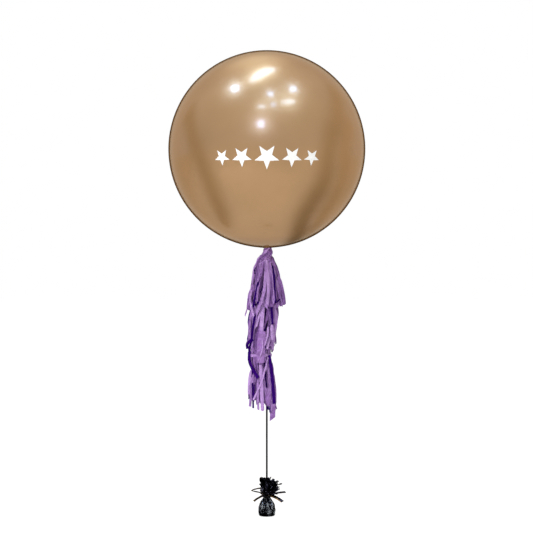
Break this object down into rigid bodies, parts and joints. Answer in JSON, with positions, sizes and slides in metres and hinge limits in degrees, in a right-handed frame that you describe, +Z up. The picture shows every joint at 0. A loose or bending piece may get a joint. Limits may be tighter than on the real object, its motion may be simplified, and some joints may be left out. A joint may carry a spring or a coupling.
{
  "type": "tasselled party balloon with weight",
  "caption": "Round metallic party balloon on a ribbon, with hanging tissue tassels, a row of film stars and a foil-wrapped weight that it stands on.",
  "frame": {"origin": "middle of the weight's flat underside, straight below the ribbon and the balloon's middle", "axes": "+Z up along the ribbon, -Y the front with the row of stars, +X to the right seen from the front"},
  "size_m": [0.6098, 0.6088, 1.4412],
  "materials": {
    "balloon_gold": "pearly metallic gold-bronze, satin gloss",
    "film_white": "matt white cut film",
    "tissue_lilac": "creased lilac tissue paper",
    "tissue_indigo": "creased dark indigo tissue paper",
    "ribbon_black": "black satin ribbon",
    "foil_black": "crumpled metallised foil film, near black with blue-grey and bronze glints"
  },
  "bodies": {
    "root": {"balloon": "balloon_gold", "film_star_1": "film_white", "film_star_2": "film_white", "film_star_3": "film_white", "film_star_4": "film_white", "film_star_5": "film_white", "tassel_upper": "tissue_lilac", "tassel_middle": "tissue_lilac", "tassel_lower": "tissue_lilac", "tissue_band": "tissue_lilac", "dark_strip_upper_right": "tissue_indigo", "dark_strip_upper_left": "tissue_indigo", "dark_strip_middle_left": "tissue_indigo", "dark_strip_middle_right": "tissue_indigo", "dark_strip_lower_right": "tissue_indigo", "dark_strip_lower_left": "tissue_indigo", "ribbon": "ribbon_black", "neck_tie": "ribbon_black", "foil_weight": "foil_black"}
  },
  "joints": []
}
